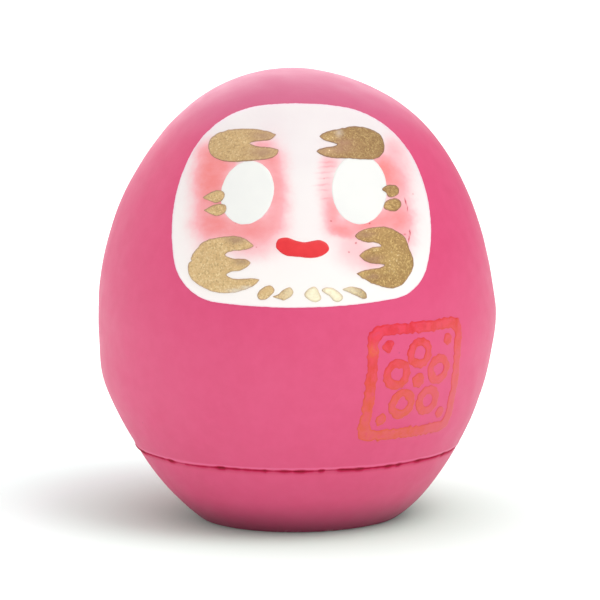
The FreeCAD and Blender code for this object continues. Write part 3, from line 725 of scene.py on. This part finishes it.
def white_face():
    """Chalky white paint with rouge brushed round the eyes, and painted light that makes the white
    brighter towards the chin.
    """
    s = Shader("face_white_paint")
    moved = s.drifted(s.drifted(s.place, 0.4, 1.1), 1.6, 0.45)
    clear = None
    for middle, size, lean, strength, power in ROUGE:
        clear = s.veil(clear, s.patch(moved, middle, size, lean, power), strength)
    brushed = s.drifted(s.place, 0.8, 0.5)
    for across, height, half in HAIRS:
        clear = s.veil(clear, s.patch(brushed, (across, height), (half, 0.13), lean=3.0), 0.34)
    rouge = s.math("SUBTRACT", 1.0, clear)
    streaks = s.noise(1.0, 3.0, 0.6, stretch=(0.5, 0.5, 0.9))
    rouge = s.math("MULTIPLY", rouge, s.range(streaks, 0.3, 0.7, 0.9, 1.06))
    white = s.mix(s.range(s.noise(0.09, 3.0), 0.35, 0.65), colour(239, 231, 230),
                  colour(236, 225, 226))
    height = s.along(2)
    # painted light: the white grows brighter towards the chin
    white = s.mix(s.range(height, 58.0, 40.0), white, colour(250, 241, 238))
    pink = s.mix(s.range(rouge, 0.0, 0.55), white, colour(247, 176, 183))
    red = s.mix(s.range(rouge, 0.5, 1.0), pink, colour(240, 126, 124))
    clean = None
    scattered = s.drifted(s.place, 2.5, 0.2)
    for middle, size, lean, strength in SPATTERS:
        clean = s.veil(clean, s.patch(scattered, middle, size, lean, 2.6), strength)
    red = s.mix(s.math("SUBTRACT", 1.0, clean), red, colour(206, 40, 62))
    edge = s.range(s.attribute("rim"), 0.3, 0.0, 0.0, 0.5)
    base = s.mix(edge, red, colour(232, 200, 222))
    grain = s.noise(1.3, 4.0, 0.55)
    s.set(Base_Color=base, Roughness=0.55, Normal=s.bump(grain, 0.03, 0.6))
    return s.material


def eye_white():
    """A smoother, cooler white over the rouge."""
    s = Shader("eye_white_paint")
    base = s.mix(s.range(s.noise(0.25, 3.0), 0.3, 0.7), colour(240, 238, 234),
                 colour(237, 235, 232))
    s.set(Base_Color=base, Roughness=0.5, Normal=s.bump(s.noise(0.8, 3.0), 0.03, 0.5))
    return s.material


# Where the gold turns pale and whitish, where it is dull and pinkish, and where flakes gather.
# Each is (middle, half size).
GOLD_WHITISH = [((-10.2, 39.35), (1.5, 0.32)), ((-8.9, 39.9), (0.9, 0.25)),
             ((5.5, 61.7), (0.55, 0.5))]
GOLD_DULL = [((-6.0, 59.1), (2.0, 0.8)), ((-5.9, 61.4), (1.9, 0.6)), ((4.6, 59.4), (2.6, 0.6)),
             ((-10.3, 46.7), (1.5, 0.55)), ((-9.6, 43.6), (0.9, 0.5)),
             ((6.2, 60.3), (1.4, 0.6)), ((9.9, 43.7), (1.5, 0.6)), ((8.8, 47.3), (1.5, 0.5)),
             ((9.6, 41.2), (1.2, 0.4))]
GOLD_FLAKES = [((4.1, 61.1), (0.7, 0.4)), ((4.0, 59.3), (0.8, 0.4)), ((8.3, 44.4), (0.5, 0.35)),
               ((10.3, 45.2), (0.7, 0.35)), ((8.6, 41.5), (1.0, 0.5)), ((12.8, 43.2), (1.4, 1.6)),
               ((13.2, 45.4), (0.2, 0.2)), ((-13.3, 45.1), (0.22, 0.2))]


def gold_paint():
    """Brushed gold: packed flakes, thin dark rims and a few bright ones, painted lighter on the
    left and darker higher up for how the light falls, with a painted highlight on the chin
    strokes.
    """
    s = Shader("gold_brush_paint")
    cells = s.drifted(s.place, 3.0, 0.2)
    flakes = s.node("ShaderNodeTexVoronoi", {"Vector": cells, "Scale": 4.8, "Randomness": 1.0})
    tint = s.node("ShaderNodeSeparateColor", {0: flakes.outputs["Color"]})
    sideways = s.along(0)
    # painted light: every gold colour mixed by side below is lighter on the left and darker on the
    # right, as the light falls
    side = s.range(sideways, -4.0, 6.0, smooth=True)
    up = s.along(2)
    plain = s.mix(side, colour(226, 190, 136), colour(182, 143, 88))
    dark = s.mix(side, colour(176, 138, 92), colour(136, 100, 56))
    bright = s.mix(side, colour(246, 220, 170), colour(222, 190, 124))
    base = s.mix(s.range(tint.outputs[0], 0.0, 0.4, 0.6, 0.0), plain, dark)
    base = s.mix(s.range(tint.outputs[1], 0.62, 1.0, 0.0, 0.85), base, bright)
    cloud = s.range(s.noise(0.7, 4.0, 0.6), 0.4, 0.7, 0.0, 0.3)
    base = s.mix(cloud, base, s.mix(side, colour(200, 160, 112), colour(156, 118, 70)))
    # painted shade: the gold darkens higher up, over the brows
    base = s.mix(s.range(up, 50.0, 58.0, 0.0, 1.0), base,
                 s.mix(side, colour(236, 234, 232), colour(226, 224, 226)), blend="MULTIPLY")
    moved = s.drifted(s.place, 1.2, 0.6)
    base = s.mix(s.math("MULTIPLY", s.any_patch(moved, GOLD_DULL), 0.75), base,
                 s.mix(side, colour(172, 134, 108), colour(164, 122, 96)))
    gathered = s.any_patch(moved, GOLD_FLAKES)
    glint = s.math("MAXIMUM", s.specks(1.5, 0.13, 0.05, 7.0),
                   s.math("MULTIPLY", gathered, s.specks(2.8, 0.14, 0.35, 3.0)))
    base = s.mix(s.math("MULTIPLY", gathered, 0.25), base, bright)
    base = s.mix(s.math("MULTIPLY", glint, 0.7), base, colour(250, 232, 186))
    base = s.mix(s.math("MULTIPLY", s.any_patch(moved, GOLD_WHITISH), 0.6), base,
                 s.mix(side, colour(238, 230, 222), colour(206, 190, 176)))
    rim = s.range(s.attribute("rim"), 0.24, 0.02, smooth=True)
    base = s.mix(s.math("MULTIPLY", rim, 0.6), base, colour(146, 108, 92))
    # painted highlight: the chin strokes turn almost white where the front light glints off them
    chin = s.math("MULTIPLY", s.range(up, 41.0, 40.4), s.range(sideways, -5.0, 0.4))
    chin = s.math("MULTIPLY", chin, s.range(sideways, 9.2, 5.0))
    chin = s.math("MULTIPLY", chin, s.range(s.noise(2.2, 3.0, 0.6), 0.35, 0.55, 0.8, 1.0))
    base = s.mix(s.math("MULTIPLY", chin, s.range(s.attribute("rim"), 0.0, 0.35, 0.35, 1.0)),
                 base, colour(255, 246, 216))
    rough = s.range(tint.outputs[2], 0.0, 1.0, 0.36, 0.62)
    s.set(Base_Color=base, Metallic=0.35, Roughness=rough,
          Normal=s.bump(tint.outputs[1], 0.02, 0.5))
    return s.material


def red_mouth():
    """Opaque satin red."""
    s = Shader("mouth_red_paint")
    base = s.mix(s.range(s.noise(0.6, 3.0), 0.35, 0.65), colour(232, 44, 50), colour(226, 36, 44))
    base = s.mix(s.range(s.attribute("rim"), 0.22, 0.0, 0.0, 0.4), base, colour(205, 40, 58))
    s.set(Base_Color=base, Roughness=0.45, Normal=s.bump(s.noise(1.1, 3.0), 0.03, 0.5))
    return s.material


def seal_ink():
    """Stamped ink, red above and orange below, pooled at the rims and thin in between."""
    s = Shader("seal_stamp_ink")
    across = s.along(0)
    height = s.math("ADD", s.along(2), s.range(s.noise(0.3, 2.0), 0, 1, -2.0, 2.0))
    height = s.math("SUBTRACT", height, s.range(across, 13.0, 20.0, 0.0, 5.0))
    ink = s.mix(s.range(height, 31.0, 21.0), colour(218, 12, 28), colour(220, 82, 38))
    pale = s.mix(s.range(height, 31.5, 18.0), colour(230, 50, 78), colour(222, 84, 84))
    orange = s.patch(s.place, (9.9, 30.3), (1.2, 1.2))
    ink = s.mix(s.math("MULTIPLY", orange, 0.8), ink, colour(232, 110, 58))
    patchy = s.range(s.noise(0.7, 5.0, 0.62), 0.42, 0.6)
    brushed = s.range(s.noise(1.0, 3.0, 0.6, stretch=(2.2, 2.2, 0.35)), 0.42, 0.62)
    rim = s.range(s.attribute("rim"), 0.4, 0.1, smooth=True)
    full = s.math("MAXIMUM", s.math("MULTIPLY", rim, 0.85), patchy)
    full = s.math("MULTIPLY", full, s.range(brushed, 0.0, 1.0, 0.72, 1.0))
    base = s.mix(full, pale, ink)
    faint = s.math("MULTIPLY", s.range(height, 27.0, 20.0), s.range(across, 14, 19))
    dry = s.range(s.noise(1.4, 4.0, 0.6), 0.5, 0.62)
    bare = s.math("MAXIMUM", s.math("MULTIPLY", faint, 0.4),
                  s.math("MULTIPLY", dry, s.range(full, 0.2, 0.9, 0.6, 0.1)))
    base = s.mix(bare, base, colour(222, 64, 104))
    s.set(Base_Color=base, Roughness=0.42, Normal=s.bump(s.noise(1.2, 3.0), 0.02, 0.5))
    return s.material


def clay():
    """Dull cast clay, for the weight inside."""
    s = Shader("ballast_clay_cast")
    base = s.mix(s.range(s.noise(0.6, 5.0, 0.65), 0.3, 0.7), colour(158, 112, 84),
                 colour(128, 90, 68))
    s.set(Base_Color=base, Roughness=0.9, Normal=s.bump(s.noise(1.5, 5.0, 0.7), 0.2, 0.7))
    return s.material


def glue():
    """Dried amber glue."""
    s = Shader("hide_glue_dry")
    base = s.mix(s.range(s.noise(0.4, 3.0), 0.3, 0.7), colour(196, 150, 84),
                 colour(168, 118, 58))
    s.set(Base_Color=base, Roughness=0.3, Normal=s.bump(s.noise(0.7, 3.0), 0.1, 0.5))
    return s.material


def dress(piece, material):
    piece.data.materials.clear()
    piece.data.materials.append(material)


def place(piece, material, node, slot):
    """Give a new piece its material and let it stand for a CAD node on the one body."""
    dress(piece, material)
    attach(piece, "root")
    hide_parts(node)


place(make_shell(), pink_paint("shell_pink_paint"), "body_shell", "shell_pink")
place(make_cup(), pink_paint("base_pink_paint", shaded_worn_foot=True), "base_cup", "base_pink")

face = Film("face_coat", FACE_COAT, 0.19, 0.4, 0.4, ripple=0.03, wobble=0.012, seed=61)
place(face.build("face_film"), white_face(), "face_coat", "face_white")

white = eye_white()
eyes = {}
for side, seed in (("left", 62), ("right", 63)):
    eyes[side] = Film(f"{side}_eye", FACE_COAT + EYE_COAT, 0.1, 0.3, 0.3, under=(face,),
                      ripple=0.05, wobble=0.012, seed=seed)
    place(eyes[side].build(f"{side}_eye_film"), white, f"{side}_eye", "eye_white")

gold = gold_paint()
STROKES = ["left_brow", "right_brow", "left_beard", "right_beard", "left_eye_tick_upper",
           "left_eye_tick_lower", "right_eye_tick_upper", "right_eye_tick_lower"]
STROKES += [f"chin_tick_{i}" for i in range(1, 6)]
for seed, node in enumerate(STROKES, start=71):
    side = node.split("_")[0]
    under = (face, eyes[side]) if side in eyes and "beard" not in node else (face,)
    film = Film(node, FACE_COAT + GOLD_COAT, 0.13, 0.22, 0.25, under=under, ripple=0.12,
                wobble=0.02, seed=seed)
    place(film.build(f"{node}_film"), gold, node, "gold_paint")

mouth = Film("mouth", FACE_COAT + MOUTH_COAT, 0.13, 0.3, 0.25, under=(face,), ripple=0.05,
             wobble=0.01, seed=91)
place(mouth.build("mouth_film"), red_mouth(), "mouth", "mouth_red")

seal = Film("seal_stamp", SEAL_COAT, 0.06, 0.2, 0.3, turn=SEAL_AZIMUTH, ripple=0.2,
            wobble=0.08, seed=92)
place(seal.build("seal_film"), seal_ink(), "seal_stamp", "seal_ink")

dress(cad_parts["ballast_weight"], clay())
dress(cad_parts["joint_glue"], glue())

# ------------------------------------------------------------------ the stage
FLOOR_HALF = 6.0
floor_mesh = bpy.data.meshes.new("floor")
floor_mesh.from_pydata([(FLOOR_HALF * x, FLOOR_HALF * y, 0) for x, y in (
    (-1, -1), (1, -1), (1, 1), (-1, 1))], [], [(0, 1, 2, 3)])
floor = bpy.data.objects.new("floor", floor_mesh)
bpy.context.scene.collection.objects.link(floor)
paper = Shader("floor_pale")
away = paper.node("ShaderNodeVectorMath", {0: paper.place}, operation="LENGTH").outputs["Value"]
# greener near the foot, against the pink light that bounces off the doll
sheet = paper.mix(paper.range(away, 20.0, 42.0), colour(208, 240, 226), colour(228, 240, 237))
sheet = paper.mix(paper.range(away, 45.0, 75.0), sheet, colour(222, 233, 231))
# painted light: the floor glows, faintly near the foot and more farther out, standing in for the
# bright room around it
paper.set(Base_Color=sheet, Roughness=0.8,
          Emission_Strength=paper.range(away, 20.0, 100.0, 0.05, 0.42))
paper.surface.inputs["Emission Color"].default_value = (1.0, 1.0, 1.0, 1.0)
dress(floor, paper.material)


def aimed(thing, position, target, roll=0.0):
    """Put a lamp or camera at a position, looking at a target."""
    thing.location = position
    facing = (Vector(target) - Vector(position)).to_track_quat("-Z", "Y").to_matrix()
    thing.rotation_euler = (facing @ Matrix.Rotation(roll, 3, "Z")).to_euler()
    bpy.context.scene.collection.objects.link(thing)


MIDDLE = (0.0, 0.0, 0.035)


def bearing(azimuth, elevation, distance, about=MIDDLE):
    """A point at a distance, seen from the doll at an azimuth (right positive) and elevation."""
    azimuth, elevation = math.radians(azimuth), math.radians(elevation)
    return Vector(about) + distance * Vector((
        math.sin(azimuth) * math.cos(elevation), -math.cos(azimuth) * math.cos(elevation),
        math.sin(elevation)))


# The soft glows of the studio: (azimuth, elevation, how tight, how strong).
GLOWS = [(0, 50, 6, 0.77), (50, 50, 8, 2.15), (0, 90, 4, 0.88), (-95, 12, 6, 0.84),
         (-140, 15, 6, 0.91), (140, 15, 6, 0.48)]
world = bpy.data.worlds.new("studio")
world.use_nodes = True
sky = world.node_tree
direction = sky.nodes.new("ShaderNodeTexCoord").outputs["Generated"]
total = None
for azimuth, elevation, tightness, strength in GLOWS:
    along = sky.nodes.new("ShaderNodeVectorMath")
    along.operation = "DOT_PRODUCT"
    sky.links.new(direction, along.inputs[0])
    along.inputs[1].default_value = bearing(azimuth, elevation, 1.0, (0.0, 0.0, 0.0))
    value = along.outputs["Value"]
    for operation, second, third in (("MULTIPLY_ADD", tightness, -tightness),
                                     ("EXPONENT", 0.0, 0.0), ("MULTIPLY_ADD", strength, 0.0)):
        step = sky.nodes.new("ShaderNodeMath")
        step.operation = operation
        sky.links.new(value, step.inputs[0])
        step.inputs[1].default_value = second
        step.inputs[2].default_value = third
        value = step.outputs[0]
    if total:
        sky.links.new(total, step.inputs[2])
    total = value
backdrop = sky.nodes["Background"]
sky.links.new(total, backdrop.inputs["Strength"])
backdrop.inputs["Color"].default_value = (1.0, 1.0, 1.0, 1.0)
bpy.context.scene.world = world


def softbox(name, energy, width, azimuth, elevation, floor_is):
    """A far soft lamp, its width in degrees, that leaves the floor out or lights only it."""
    lamp = bpy.data.lights.new(name, "SUN")
    lamp.energy = energy
    lamp.angle = math.radians(width)
    light = bpy.data.objects.new(name, lamp)
    aimed(light, bearing(azimuth, elevation, 1.0), MIDDLE)
    linked = bpy.data.collections.new(f"{name}_floor")
    linked.objects.link(floor)
    linked.collection_objects[0].light_linking.link_state = floor_is
    light.light_linking.receiver_collection = linked


softbox("back_softbox", 1.24, 50, 180, 25, "EXCLUDE")
softbox("key_softbox", 0.76, 30, 45, 57, "INCLUDE")

camera = bpy.data.cameras.new("camera")
camera.sensor_width = 36.0
camera.lens = 211.56
camera.clip_start = 0.05
camera.clip_end = 20.0
eye = bpy.data.objects.new("camera", camera)
aimed(eye, bearing(-3.3, 7.97, 0.55), (0.00064, 0.0, 0.03381), roll=math.radians(-0.31))
bpy.context.scene.camera = eye
bpy.context.scene.view_settings.view_transform = "Standard"
